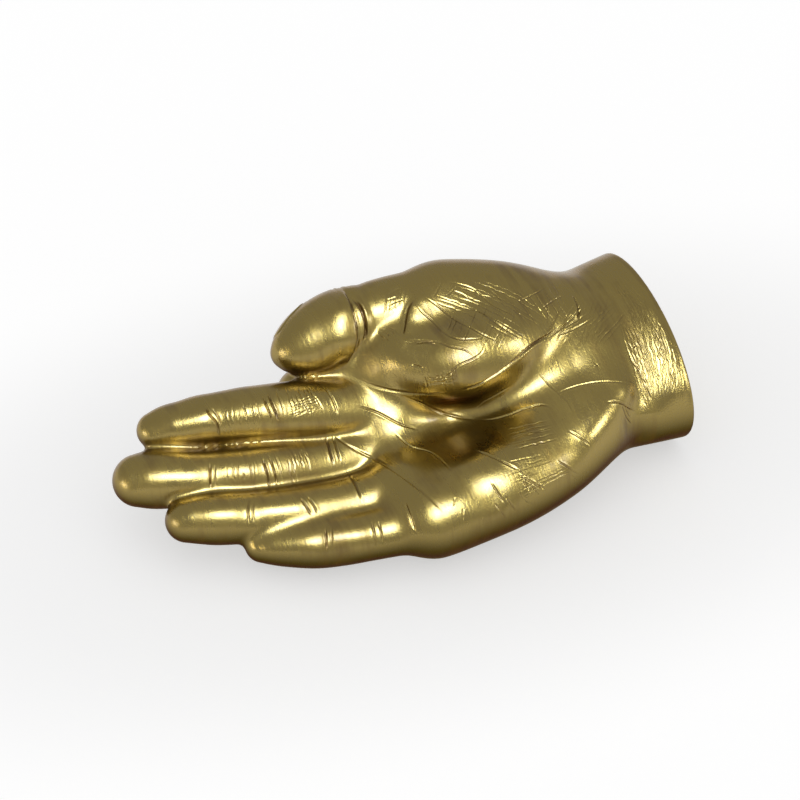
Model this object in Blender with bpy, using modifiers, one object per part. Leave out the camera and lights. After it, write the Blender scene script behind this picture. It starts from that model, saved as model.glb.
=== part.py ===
"""Trinket dish in the form of a cupped right hand that lies on its back, palm up.

The hand is one hollow casting, open at the wrist. An oval plate closes the wrist, and four round pads under
the knuckles and the heel carry the weight. +X runs from the fingertips to the wrist, +Y to the thumb's side
and +Z up from the table. The origin is under the middle of the hand, on the table.
"""

import math

import bmesh
import bpy
import numpy as np
from mathutils import Euler, Matrix

# Driving sizes, in metres
HAND_LENGTH = 0.195
HAND_BREADTH = 0.094
HAND_HEIGHT = 0.060
FINGER_WIDTH = 0.020
THUMB_WIDTH = 0.024
PALM_THICKNESS = 0.026
WRIST_WIDTH = 0.066
WRIST_THICKNESS = 0.041
CORE_DEPTH = 0.066
RIM_WIDTH = 0.0035
LEDGE_WIDTH = 0.0025
PLATE_THICKNESS = 0.004
PLATE_RECESS = 0.001
PLATE_EDGE_ROUND = 0.0006
PAD_WIDTH = 0.013
PAD_THICKNESS = 0.0015
PAD_EDGE_ROUND = 0.0004
FOOT_FLANGE = 0.0015
FIT_GAP = 0.0003

# How softly neighbouring forms run together, in metres
SEAM_BLEND = 0.003
ROOT_BLEND = 0.006
PALM_BLEND = 0.008
FOOT_BLEND = 0.004

# Fineness of the skin, in metres, and how far a cutter runs past what it cuts
BALL_SPACING = 0.0012
ROUGH_STEP = 0.002
SKIN_STEP = 0.0015
CUT_OVERRUN = 0.015

# Counts of faces, sides and rounds
HAND_FACES = 9000
CORE_FACES = 1400
CORE_SIDES = 48
CORE_RINGS = 32
OVAL_SIDES = 64
PAD_SIDES = 40
ROUGH_BALL_SPLIT_COUNT = 2
ROUGH_BALL_SKIP_COUNT = 3
WRIST_BALL_COUNT = 7
SETTLE_COUNT = 4

# The wrist's direction, in degrees: towards the thumb's side, down towards the table, and rolled on its axis,
# then the angle from which an edge is shaded sharp
WRIST_TURN_ANGLE = 9.9
WRIST_DROP_ANGLE = 2.9
WRIST_ROLL_ANGLE = 23.0
SHARP_EDGE_ANGLE = 40.0

# Each row is x, y and z as shares of the hand's length, breadth and height, then the width there as a share
# of FINGER_WIDTH, from the fingertip to the knuckle.
FINGER_SHARES = {
    "index": [
        (-0.410, 0.188, 0.492, 0.62), (-0.390, 0.184, 0.502, 0.73), (-0.360, 0.174, 0.510, 0.81),
        (-0.334, 0.168, 0.520, 0.86), (-0.310, 0.159, 0.530, 0.86), (-0.284, 0.148, 0.535, 0.90),
        (-0.260, 0.136, 0.547, 0.92), (-0.236, 0.126, 0.550, 0.93), (-0.184, 0.118, 0.525, 1.00),
        (-0.112, 0.118, 0.465, 1.08), (-0.008, 0.128, 0.390, 1.18),
    ],
    "middle": [
        (-0.456, 0.064, 0.335, 0.88), (-0.431, 0.054, 0.335, 0.98), (-0.400, 0.039, 0.335, 0.99),
        (-0.372, 0.022, 0.335, 0.95), (-0.340, 0.006, 0.335, 0.92), (-0.288, -0.010, 0.330, 0.96),
        (-0.236, -0.020, 0.320, 0.99), (-0.148, -0.015, 0.275, 1.02), (-0.012, 0.004, 0.225, 1.20),
    ],
    "ring": [
        (-0.397, -0.127, 0.260, 0.73), (-0.375, -0.136, 0.260, 0.81), (-0.351, -0.148, 0.260, 0.87),
        (-0.328, -0.158, 0.257, 0.88), (-0.300, -0.169, 0.253, 0.87), (-0.268, -0.180, 0.247, 0.89),
        (-0.212, -0.197, 0.240, 0.92), (-0.124, -0.204, 0.220, 0.97), (-0.024, -0.195, 0.215, 1.12),
    ],
    "little": [
        (-0.285, -0.258, 0.157, 0.58), (-0.263, -0.272, 0.162, 0.69), (-0.235, -0.291, 0.169, 0.78),
        (-0.196, -0.314, 0.177, 0.86), (-0.156, -0.331, 0.186, 0.87), (-0.104, -0.343, 0.192, 0.86),
        (-0.048, -0.350, 0.206, 0.94), (0.004, -0.348, 0.228, 1.20),
    ],
}

# The thumb, from its tip to its knuckle, and on over its long bone to the wrist. Widths follow THUMB_WIDTH.
THUMB_SHARES = [
    (-0.163, 0.279, 0.725, 0.48), (-0.150, 0.280, 0.733, 0.66), (-0.135, 0.285, 0.743, 0.81),
    (-0.115, 0.293, 0.755, 0.95), (-0.091, 0.304, 0.768, 1.04), (-0.063, 0.317, 0.778, 1.06),
    (-0.042, 0.322, 0.788, 1.00), (-0.019, 0.325, 0.795, 0.93), (0.008, 0.326, 0.799, 0.96),
    (0.040, 0.324, 0.793, 1.02), (0.080, 0.324, 0.776, 1.07), (0.120, 0.322, 0.755, 1.08),
]
THUMB_BONE_SHARES = [
    (0.120, 0.322, 0.755, 1.08), (0.180, 0.310, 0.735, 0.99), (0.240, 0.284, 0.690, 0.98),
    (0.308, 0.246, 0.590, 0.90),
]

# The long bones of the palm, its fleshy mounds and the web between thumb and index. Widths follow
# PALM_THICKNESS.
PALM_SHARES = {
    "index_bone": [
        (0.332, 0.230, 0.505, 1.04), (0.200, 0.145, 0.375, 0.86), (0.072, 0.140, 0.345, 0.80),
        (-0.008, 0.128, 0.390, 0.92),
    ],
    "middle_bone": [
        (0.340, 0.140, 0.442, 1.12), (0.192, 0.040, 0.262, 0.90), (0.080, 0.028, 0.205, 0.80),
        (-0.012, 0.004, 0.225, 0.92),
    ],
    "ring_bone": [
        (0.348, 0.045, 0.378, 1.12), (0.184, -0.120, 0.240, 0.90), (0.068, -0.165, 0.198, 0.80),
        (-0.024, -0.195, 0.215, 0.86),
    ],
    "little_mound": [
        (0.004, -0.345, 0.228, 0.90), (0.044, -0.332, 0.243, 0.98), (0.092, -0.313, 0.258, 1.03),
        (0.144, -0.289, 0.272, 1.06), (0.200, -0.252, 0.285, 1.06), (0.252, -0.206, 0.304, 1.05),
        (0.300, -0.155, 0.350, 0.98), (0.335, -0.095, 0.385, 0.86),
    ],
    "thumb_mound": [
        (0.120, 0.295, 0.705, 1.04), (0.174, 0.282, 0.672, 1.19), (0.226, 0.258, 0.635, 1.19),
        (0.284, 0.225, 0.570, 1.04),
    ],
    "low_thumb_mound": [
        (0.029, 0.176, 0.650, 0.73), (0.069, 0.106, 0.683, 0.85), (0.117, 0.073, 0.717, 0.92),
        (0.179, 0.090, 0.733, 0.88), (0.250, 0.159, 0.700, 0.73),
    ],
    "web": [
        (-0.148, 0.246, 0.450, 0.46), (-0.102, 0.247, 0.483, 0.58), (-0.055, 0.241, 0.533, 0.65),
        (-0.007, 0.223, 0.600, 0.73), (0.035, 0.192, 0.667, 0.77),
    ],
}

# The wrist: its cut end as shares of the hand's length, breadth and height, then how far along the wrist each
# row lies from that end and how wide it is there, as shares of WRIST_WIDTH.
WRIST_END_SHARES = (0.472, 0.148, 0.385)
WRIST_SHARES = [(-0.54, 0.88), (-0.25, 0.94), (-0.03, 0.99), (0.12, 1.02), (0.30, 1.05)]

# Where the feet stand, as shares of the hand's length and breadth, and how high they reach into the hand
FOOT_SHARES = {
    "pad_front_thumb": (0.012, 0.100),
    "pad_front_little": (-0.040, -0.285),
    "pad_rear_thumb": (0.410, 0.165),
    "pad_rear_little": (0.370, -0.030),
}
FOOT_RISE_SHARE = 0.2

GOLD = (0.36, 0.27, 0.075, 1.0)
FELT = (0.035, 0.032, 0.030, 1.0)

hand_size = np.array([HAND_LENGTH, HAND_BREADTH, HAND_HEIGHT])
wrist_end = hand_size * WRIST_END_SHARES
wrist_turn = Euler(
    (math.radians(WRIST_ROLL_ANGLE), math.radians(WRIST_DROP_ANGLE), math.radians(WRIST_TURN_ANGLE))
).to_matrix()
forearm_axis, width_axis, thickness_axis = (np.array(axis) for axis in wrist_turn.transposed())
wall = RIM_WIDTH + LEDGE_WIDTH
core_half_sizes = np.array([CORE_DEPTH, WRIST_WIDTH / 2 - wall, WRIST_THICKNESS / 2 - wall])
seat_height = PAD_THICKNESS + FIT_GAP
foot_width = PAD_WIDTH + 2 * FOOT_FLANGE
seat_depth = PLATE_RECESS + PLATE_THICKNESS + FIT_GAP


def stations(shares, width):
    """Centres and radii along one limb, in metres."""
    rows = np.array(shares)
    return np.column_stack([rows[:, :3] * hand_size, rows[:, 3] * width / 2])


def strand(rows):
    """Closely spaced balls, as centre and radius, on a smooth curve through a limb's stations."""
    lengths = np.linalg.norm(np.diff(rows[:, :3], axis=0), axis=1)
    marks = np.concatenate([[0], np.cumsum(lengths)])
    slopes = np.gradient(rows, marks, axis=0)
    places = np.linspace(0, marks[-1], int(marks[-1] / BALL_SPACING) + 2)
    index = np.clip(np.searchsorted(marks, places, "right") - 1, 0, len(rows) - 2)
    span = (marks[index + 1] - marks[index])[:, None]
    t = (places - marks[index])[:, None] / span
    start = (1 + 2 * t) * (1 - t) ** 2
    start_slope = t * (1 - t) ** 2
    end_slope = t ** 2 * (t - 1)
    return (
        start * rows[index]
        + (1 - start) * rows[index + 1]
        + span * (start_slope * slopes[index] + end_slope * slopes[index + 1])
    )


def wrist_rows():
    """The wrist's stations, measured from its cut end along the forearm."""
    rows = np.array(WRIST_SHARES) * WRIST_WIDTH
    return np.column_stack([wrist_end + rows[:, :1] * forearm_axis, rows[:, 1] / 2])


def foot_rows(place_shares):
    """A short round stub under the hand, from below the table's level up into the body."""
    x, y = np.array(place_shares) * hand_size[:2]
    radius = foot_width / 2
    return np.array([[x, y, -radius, radius], [x, y, FOOT_RISE_SHARE * HAND_HEIGHT, radius]])


fingers = {name: strand(stations(rows, FINGER_WIDTH)) for name, rows in FINGER_SHARES.items()}
thumb = strand(stations(THUMB_SHARES, THUMB_WIDTH))
thumb_bone = strand(stations(THUMB_BONE_SHARES, THUMB_WIDTH))
palm_forms = [strand(stations(rows, PALM_THICKNESS)) for rows in PALM_SHARES.values()]
wrist = strand(wrist_rows())
feet = [strand(foot_rows(place_shares)) for place_shares in FOOT_SHARES.values()]


def distance_to(points, balls):
    """How far each point lies outside the skin of the nearest ball."""
    centres, radii = balls[:, :3], balls[:, 3]
    squared = (points ** 2).sum(1)[:, None] + (centres ** 2).sum(1) - 2 * points @ centres.T
    return (np.sqrt(np.maximum(squared, 0)) - radii).min(1)


def flattened(values):
    """Stretches the wrist's thickness to its width, so that round balls give an oval section."""
    stretch = (WRIST_WIDTH - WRIST_THICKNESS) / WRIST_THICKNESS
    return values + np.outer(values @ thickness_axis * stretch, thickness_axis)


def wrist_distance(points):
    balls = np.column_stack([flattened(wrist[:, :3]), wrist[:, 3]])
    return distance_to(flattened(points), balls) * (WRIST_WIDTH + WRIST_THICKNESS) / (2 * WRIST_WIDTH)


def blend(a, b, reach):
    """The nearer of two surfaces, with a fillet where they meet."""
    overlap = np.maximum(reach - np.abs(a - b), 0)
    return np.minimum(a, b) - overlap ** 2 / (4 * reach)


def palm_distance(points):
    distance = wrist_distance(points)
    for balls in [*palm_forms, thumb_bone]:
        distance = blend(distance, distance_to(points, balls), PALM_BLEND)
    return distance


def hand_distance(points):
    """Signed distance to the hand's skin, the wrist running on past its cut end."""
    palm = palm_distance(points)
    distance = palm
    for balls in [*fingers.values(), thumb]:
        limb = blend(distance_to(points, balls), palm, ROOT_BLEND)
        distance = blend(distance, limb, SEAM_BLEND)
    return distance


def casting_distance(points):
    """The hand with its four stub feet."""
    distance = hand_distance(points)
    for balls in feet:
        distance = blend(distance, distance_to(points, balls), FOOT_BLEND)
    return distance


def core_distance(points):
    """The hollow: a long egg from the wrist's cut end, kept a wall's width inside the casting."""
    local = (points - wrist_end) @ np.array([forearm_axis, width_axis, thickness_axis]).T
    inside = points - np.outer(np.maximum(local[:, 0], 0), forearm_axis)
    share = np.linalg.norm(local / core_half_sizes, axis=1)
    slope = np.linalg.norm(local / core_half_sizes ** 2, axis=1)
    egg = share * (share - 1) / np.maximum(slope, 1 / CORE_DEPTH)
    return -blend(-egg, -hand_distance(inside) - wall, SEAM_BLEND)


def collection(name):
    made = bpy.data.collections.new(name)
    bpy.context.scene.collection.children.link(made)
    return made


def place(name, mesh, group, finish=None):
    """A new object for a mesh, shaded smooth but for its sharp edges."""
    made = bpy.data.objects.new(name, mesh)
    group.objects.link(made)
    mesh.shade_smooth()
    mesh.set_sharp_from_angle(angle=math.radians(SHARP_EDGE_ANGLE))
    if finish:
        mesh.materials.append(finish)
    return made


def cutter(made):
    made.hide_render = True
    made.display_type = "WIRE"
    return made


def evaluated_mesh(made):
    graph = bpy.context.evaluated_depsgraph_get()
    return bpy.data.meshes.new_from_object(made.evaluated_get(graph))


def remeshed(mesh, step):
    """The mesh as one closed skin of small even faces."""
    scratch = bpy.data.objects.new("scratch", mesh)
    bpy.context.scene.collection.objects.link(scratch)
    voxels = scratch.modifiers.new("Voxels", "REMESH")
    voxels.mode = "VOXEL"
    voxels.voxel_size = step
    result = evaluated_mesh(scratch)
    bpy.data.objects.remove(scratch)
    return result


def settled(mesh, distance):
    """Moves each vertex along its normal onto the surface where the distance is zero."""
    count = len(mesh.vertices)
    for _ in range(SETTLE_COUNT):
        points = np.empty(count * 3)
        normals = np.empty(count * 3)
        mesh.vertices.foreach_get("co", points)
        mesh.vertex_normals.foreach_get("vector", normals)
        points = points.reshape(-1, 3)
        step = np.clip(distance(points), -ROUGH_STEP, ROUGH_STEP)
        points -= normals.reshape(-1, 3) * step[:, None]
        mesh.vertices.foreach_set("co", points.ravel())
        mesh.update()
    return mesh


def skin(rough, distance, faces):
    """A closed skin over a rough form, settled twice and then thinned."""
    mesh = settled(remeshed(rough, ROUGH_STEP), distance)
    mesh = settled(remeshed(mesh, SKIN_STEP), distance)
    scratch = bpy.data.objects.new("scratch", mesh)
    bpy.context.scene.collection.objects.link(scratch)
    thin = scratch.modifiers.new("Thin", "DECIMATE")
    thin.ratio = faces / (2 * len(mesh.polygons))
    result = evaluated_mesh(scratch)
    bpy.data.objects.remove(scratch)
    return result


def rough_hand():
    """Overlapping balls along every limb, the wrist's set side by side to make its oval."""
    shape = bmesh.new()
    limbs = [*fingers.values(), thumb, thumb_bone, *palm_forms, *feet]
    balls = [ball for limb in limbs for ball in limb[::ROUGH_BALL_SKIP_COUNT]]
    wrist_radius = WRIST_THICKNESS / 2
    reach = (WRIST_WIDTH - WRIST_THICKNESS) / 2
    for centre in wrist[::ROUGH_BALL_SKIP_COUNT, :3]:
        for side in np.linspace(-reach, reach, WRIST_BALL_COUNT):
            balls.append([*(centre + side * width_axis), wrist_radius])
    for x, y, z, radius in balls:
        bmesh.ops.create_icosphere(
            shape,
            subdivisions=ROUGH_BALL_SPLIT_COUNT,
            radius=radius,
            matrix=Matrix.Translation((x, y, z)),
        )
    mesh = bpy.data.meshes.new("rough_hand")
    shape.to_mesh(mesh)
    shape.free()
    return mesh


def rough_core():
    """An egg that reaches from the palm to past the wrist's cut end."""
    shape = bmesh.new()
    bmesh.ops.create_uvsphere(shape, u_segments=CORE_SIDES, v_segments=CORE_RINGS, radius=1)
    sizes = Matrix.Diagonal((*core_half_sizes, 1))
    shape.transform(Matrix.Translation(wrist_end) @ wrist_turn.to_4x4() @ sizes)
    mesh = bpy.data.meshes.new("rough_core")
    shape.to_mesh(mesh)
    shape.free()
    return mesh


def oval(name, group, width, thickness, depth, finish=None):
    """An oval slab across the wrist, its outer face at the object's origin and its body inward."""
    shape = bmesh.new()
    bmesh.ops.create_cone(shape, cap_ends=True, segments=OVAL_SIDES, radius1=1, radius2=1, depth=1)
    shape.transform(
        Matrix.Translation((-depth / 2, 0, 0))
        @ Matrix.Diagonal((depth, width / 2, thickness / 2, 1))
        @ Matrix.Rotation(math.radians(90), 4, "Y")
    )
    mesh = bpy.data.meshes.new(name)
    shape.to_mesh(mesh)
    shape.free()
    return place(name, mesh, group, finish)


def set_on_wrist(made, outward):
    """Turns an object to the wrist and puts it the given distance outside the cut end."""
    made.rotation_euler = wrist_turn.to_euler()
    made.location = wrist_end + outward * forearm_axis


def block(name, group, size):
    """A cutting block that hangs below its object's origin."""
    shape = bmesh.new()
    bmesh.ops.create_cube(shape, size=1)
    shape.transform(Matrix.Translation((0, 0, -size[2] / 2)) @ Matrix.Diagonal((*size, 1)))
    mesh = bpy.data.meshes.new(name)
    shape.to_mesh(mesh)
    shape.free()
    return place(name, mesh, group)


def cut(made, tool):
    boolean = made.modifiers.new(tool.name, "BOOLEAN")
    boolean.operation = "DIFFERENCE"
    boolean.solver = "EXACT"
    boolean.object = cutter(tool)


def soften(made, width, segments):
    bevel = made.modifiers.new("Edges", "BEVEL")
    bevel.width = width
    bevel.segments = segments
    bevel.limit_method = "ANGLE"


def material(name, colour, metallic, roughness):
    made = bpy.data.materials.new(name)
    made.use_nodes = True
    shader = made.node_tree.nodes["Principled BSDF"]
    shader.inputs["Base Color"].default_value = colour
    shader.inputs["Metallic"].default_value = metallic
    shader.inputs["Roughness"].default_value = roughness
    return made


def make_hand(parts, cutters):
    """The casting: cut off square at the wrist, flat under its feet, hollow and rebated for the plate."""
    gold = material("gold_lacquer", GOLD, 0.95, 0.32)
    hand = place("hand_shell", skin(rough_hand(), casting_distance, HAND_FACES), parts, gold)
    floor_cut = block(
        "floor_cut", cutters, (HAND_LENGTH + WRIST_WIDTH, HAND_BREADTH + WRIST_WIDTH, HAND_HEIGHT)
    )
    floor_cut.location.z = seat_height
    cut(hand, floor_cut)
    wrist_cut = block(
        "wrist_cut", cutters, (HAND_BREADTH + WRIST_WIDTH, HAND_HEIGHT + WRIST_WIDTH, WRIST_WIDTH)
    )
    wrist_cut.rotation_euler = (wrist_turn @ Matrix.Rotation(math.radians(-90), 3, "Y")).to_euler()
    wrist_cut.location = wrist_end
    cut(hand, wrist_cut)
    cut(hand, place("core", skin(rough_core(), core_distance, CORE_FACES), cutters))
    plate_seat = oval(
        "plate_seat",
        cutters,
        WRIST_WIDTH - 2 * RIM_WIDTH,
        WRIST_THICKNESS - 2 * RIM_WIDTH,
        seat_depth + CUT_OVERRUN,
    )
    set_on_wrist(plate_seat, CUT_OVERRUN)
    cut(hand, plate_seat)


def make_plate(parts):
    """The oval plate that closes the wrist, a little below the rim."""
    bronze = material("plate_lacquer", GOLD, 0.95, 0.4)
    inset = 2 * (RIM_WIDTH + FIT_GAP)
    plate = oval(
        "wrist_plate",
        parts,
        WRIST_WIDTH - inset,
        WRIST_THICKNESS - inset,
        PLATE_THICKNESS,
        bronze,
    )
    soften(plate, PLATE_EDGE_ROUND, 2)
    set_on_wrist(plate, -PLATE_RECESS)


def make_pads(parts):
    """Four round felt pads on the table, one below each foot."""
    felt = material("felt", FELT, 0.0, 0.9)
    for name, place_shares in FOOT_SHARES.items():
        shape = bmesh.new()
        bmesh.ops.create_cone(
            shape,
            cap_ends=True,
            segments=PAD_SIDES,
            radius1=PAD_WIDTH / 2,
            radius2=PAD_WIDTH / 2,
            depth=PAD_THICKNESS,
        )
        mesh = bpy.data.meshes.new(name)
        shape.to_mesh(mesh)
        shape.free()
        pad = place(name, mesh, parts, felt)
        x, y = np.array(place_shares) * hand_size[:2]
        pad.location = (x, y, PAD_THICKNESS / 2)
        soften(pad, PAD_EDGE_ROUND, 1)


def main():
    for old in list(bpy.data.objects):
        bpy.data.objects.remove(old)
    parts = collection("trinket_dish")
    cutters = collection("cutters")
    make_hand(parts, cutters)
    make_plate(parts)
    make_pads(parts)


main()
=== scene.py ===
"""Looks of the trinket dish, a cupped right hand in gold lacquer that lies on its back.

The hand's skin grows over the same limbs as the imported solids. Strokes then press its creases and raise its
pads. Strokes that the photograph shows are drawn in its pixels. The others are laid out from below or along a
finger. Everything is in metres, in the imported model's frame.
"""

import math

import bmesh
import bpy
import numpy as np
from mathutils import Euler, Matrix, Vector
from mathutils.bvhtree import BVHTree
from mathutils.kdtree import KDTree


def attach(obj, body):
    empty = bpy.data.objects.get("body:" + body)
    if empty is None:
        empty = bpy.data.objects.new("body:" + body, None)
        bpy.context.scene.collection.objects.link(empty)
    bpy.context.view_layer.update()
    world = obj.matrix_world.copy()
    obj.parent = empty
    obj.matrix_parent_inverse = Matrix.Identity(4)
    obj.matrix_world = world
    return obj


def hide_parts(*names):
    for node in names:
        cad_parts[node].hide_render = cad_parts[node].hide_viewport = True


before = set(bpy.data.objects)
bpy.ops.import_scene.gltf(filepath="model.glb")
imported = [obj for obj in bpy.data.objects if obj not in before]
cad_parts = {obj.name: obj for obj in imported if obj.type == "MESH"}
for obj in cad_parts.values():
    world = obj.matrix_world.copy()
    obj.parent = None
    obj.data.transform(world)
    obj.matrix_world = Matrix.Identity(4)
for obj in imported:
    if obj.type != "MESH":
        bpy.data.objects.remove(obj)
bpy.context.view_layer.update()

MM = 0.001

# The casting's driving sizes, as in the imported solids
HAND_LENGTH = 0.195
HAND_BREADTH = 0.094
HAND_HEIGHT = 0.060
FINGER_WIDTH = 0.020
THUMB_WIDTH = 0.024
PALM_THICKNESS = 0.026
WRIST_WIDTH = 0.066
WRIST_THICKNESS = 0.041
RIM_WIDTH = 0.0035
PLATE_THICKNESS = 0.004
PLATE_RECESS = 0.001
RIM_CHAMFER = 0.0004
PAD_WIDTH = 0.013
PAD_THICKNESS = 0.0015
FOOT_FLANGE = 0.0015
FIT_GAP = 0.0003

# How softly neighbouring forms run together, and how far the cut edges are rounded
SEAM_BLEND = 0.003
ROOT_BLEND = 0.006
PALM_BLEND = 0.008
FOOT_BLEND = 0.004
RIM_ROUND = 0.0012
FOOT_ROUND = 0.0008

# Fineness of the skin, how near a fine line it is made twice and four times as fine, how far from a cut edge
# the lines have faded away, and how the painted shade low on the sides follows height and the skin's turn to
# the table
BALL_SPACING = 0.0012
ROUGH_STEP = 0.002
SKIN_STEP = 0.0006
FINE_REACH = 0.0014
FINEST_REACH = 0.0009
EDGE_REACH = 0.003
SETTLE_ROUNDS = 4
SHELTER_REACHES = (0.003, 0.009)
TABLE_REACH = 0.058
TABLE_TURN = 0.06
SMOOTH_ROUNDS = 3
OVAL_SIDES = 160

# The wrist's direction, in degrees: towards the thumb's side, down towards the table, and rolled on its axis
WRIST_TURN_ANGLE = 9.9
WRIST_DROP_ANGLE = 2.9
WRIST_ROLL_ANGLE = 23.0

# The photograph's camera: where it looks, from where in degrees and metres, its lens and sensor in
# millimetres, and the picture's side in pixels
PHOTO_TARGET = Vector((0.0098, 0.0341, 0.0012))
PHOTO_AZIMUTH = -17.4
PHOTO_ELEVATION = 45.0
PHOTO_DISTANCE = 1.0
PHOTO_LENS = 129.6
PHOTO_SENSOR = 36.0
PHOTO_SIDE = 800

# Each row is x, y and z as shares of the hand's length, breadth and height, then the width there as a share
# of FINGER_WIDTH, from the fingertip to the knuckle.
FINGER_SHARES = {
    "index": [
        (-0.410, 0.188, 0.492, 0.62), (-0.390, 0.184, 0.502, 0.73), (-0.360, 0.174, 0.510, 0.81),
        (-0.334, 0.168, 0.520, 0.86), (-0.310, 0.159, 0.530, 0.86), (-0.284, 0.148, 0.535, 0.90),
        (-0.260, 0.136, 0.547, 0.92), (-0.236, 0.126, 0.550, 0.93), (-0.184, 0.118, 0.525, 1.00),
        (-0.112, 0.118, 0.465, 1.08), (-0.008, 0.128, 0.390, 1.18),
    ],
    "middle": [
        (-0.456, 0.064, 0.335, 0.88), (-0.431, 0.054, 0.335, 0.98), (-0.400, 0.039, 0.335, 0.99),
        (-0.372, 0.022, 0.335, 0.95), (-0.340, 0.006, 0.335, 0.92), (-0.288, -0.010, 0.330, 0.96),
        (-0.236, -0.020, 0.320, 0.99), (-0.148, -0.015, 0.275, 1.02), (-0.012, 0.004, 0.225, 1.20),
    ],
    "ring": [
        (-0.397, -0.127, 0.260, 0.73), (-0.375, -0.136, 0.260, 0.81), (-0.351, -0.148, 0.260, 0.87),
        (-0.328, -0.158, 0.257, 0.88), (-0.300, -0.169, 0.253, 0.87), (-0.268, -0.180, 0.247, 0.89),
        (-0.212, -0.197, 0.240, 0.92), (-0.124, -0.204, 0.220, 0.97), (-0.024, -0.195, 0.215, 1.12),
    ],
    "little": [
        (-0.285, -0.258, 0.157, 0.58), (-0.263, -0.272, 0.162, 0.69), (-0.235, -0.291, 0.169, 0.78),
        (-0.196, -0.314, 0.177, 0.86), (-0.156, -0.331, 0.186, 0.87), (-0.104, -0.343, 0.192, 0.86),
        (-0.048, -0.350, 0.206, 0.94), (0.004, -0.348, 0.228, 1.20),
    ],
}

# The thumb, from its tip to its knuckle, and on over its long bone to the wrist. Widths follow THUMB_WIDTH.
THUMB_SHARES = [
    (-0.163, 0.279, 0.725, 0.48), (-0.150, 0.280, 0.733, 0.66), (-0.135, 0.285, 0.743, 0.81),
    (-0.115, 0.293, 0.755, 0.95), (-0.091, 0.304, 0.768, 1.04), (-0.063, 0.317, 0.778, 1.06),
    (-0.042, 0.322, 0.788, 1.00), (-0.019, 0.325, 0.795, 0.93), (0.008, 0.326, 0.799, 0.96),
    (0.040, 0.324, 0.793, 1.02), (0.080, 0.324, 0.776, 1.07), (0.120, 0.322, 0.755, 1.08),
]
THUMB_BONE_SHARES = [
    (0.120, 0.322, 0.755, 1.08), (0.180, 0.310, 0.735, 0.99), (0.240, 0.284, 0.690, 0.98),
    (0.308, 0.246, 0.590, 0.90),
]

# The long bones of the palm, its fleshy mounds and the web between thumb and index. Widths follow
# PALM_THICKNESS.
PALM_SHARES = {
    "index_bone": [
        (0.332, 0.230, 0.505, 1.04), (0.200, 0.145, 0.375, 0.86), (0.072, 0.140, 0.345, 0.80),
        (-0.008, 0.128, 0.390, 0.92),
    ],
    "middle_bone": [
        (0.340, 0.140, 0.442, 1.12), (0.192, 0.040, 0.262, 0.90), (0.080, 0.028, 0.205, 0.80),
        (-0.012, 0.004, 0.225, 0.92),
    ],
    "ring_bone": [
        (0.348, 0.045, 0.378, 1.12), (0.184, -0.120, 0.240, 0.90), (0.068, -0.165, 0.198, 0.80),
        (-0.024, -0.195, 0.215, 0.86),
    ],
    "little_mound": [
        (0.004, -0.345, 0.228, 0.90), (0.044, -0.332, 0.243, 0.98), (0.092, -0.313, 0.258, 1.03),
        (0.144, -0.289, 0.272, 1.06), (0.200, -0.252, 0.285, 1.06), (0.252, -0.206, 0.304, 1.05),
        (0.300, -0.155, 0.350, 0.98), (0.335, -0.095, 0.385, 0.86),
    ],
    "thumb_mound": [
        (0.120, 0.295, 0.705, 1.04), (0.174, 0.282, 0.672, 1.19), (0.226, 0.258, 0.635, 1.19),
        (0.284, 0.225, 0.570, 1.04),
    ],
    "low_thumb_mound": [
        (0.029, 0.176, 0.650, 0.73), (0.069, 0.106, 0.683, 0.85), (0.117, 0.073, 0.717, 0.92),
        (0.179, 0.090, 0.733, 0.88), (0.250, 0.159, 0.700, 0.73),
    ],
    "web": [
        (-0.148, 0.246, 0.450, 0.46), (-0.102, 0.247, 0.483, 0.58), (-0.055, 0.241, 0.533, 0.65),
        (-0.007, 0.223, 0.600, 0.73), (0.035, 0.192, 0.667, 0.77),
    ],
}

# The wrist: its cut end as shares of the hand's length, breadth and height, then how far along the wrist each
# row lies from that end and how wide it is there, as shares of WRIST_WIDTH.
WRIST_END_SHARES = (0.472, 0.148, 0.385)
WRIST_SHARES = [(-0.54, 0.88), (-0.25, 0.94), (-0.03, 0.99), (0.12, 1.02), (0.30, 1.05)]

# Where the feet stand, as shares of the hand's length and breadth, and how high they reach into the hand
FOOT_SHARES = {
    "front_thumb": (0.012, 0.100),
    "front_little": (-0.040, -0.285),
    "rear_thumb": (0.410, 0.165),
    "rear_little": (0.370, -0.030),
}
FOOT_RISE_SHARE = 0.2

# Soft forms, each as its height and half width in millimetres and a line of the photograph's pixels
MOUNDS = [
    (0.9, 4.5, [(176, 424), (200, 420)]),
    (0.5, 4.0, [(232, 415), (256, 410)]),
    (0.7, 4.5, [(150, 478), (188, 477)]),
    (0.5, 4.0, [(228, 470), (252, 470)]),
    (0.6, 4.0, [(192, 514), (230, 512)]),
    (0.5, 3.5, [(268, 508), (296, 505)]),
    (0.6, 4.0, [(272, 546), (305, 543)]),
    (0.5, 3.5, [(338, 536), (362, 534)]),
    (1.6, 5.0, [(338, 316), (341, 336)]),
    (1.5, 4.5, [(421, 304), (418, 314)]),
    (0.3, 6.0, [(440, 362), (462, 364)]),
    (1.2, 6.0, [(622, 392), (604, 412), (588, 434)]),
    (-1.2, 5.0, [(642, 436), (634, 418), (640, 400)]),
    (-1.0, 6.0, [(615, 300), (630, 340), (640, 375)]),
    (0.8, 5.0, [(656, 312), (668, 350), (676, 390)]),
    (-0.8, 5.0, [(443, 476), (470, 486), (492, 498)]),
    (-0.7, 5.0, [(500, 398), (540, 386), (575, 372)]),
]

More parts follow.
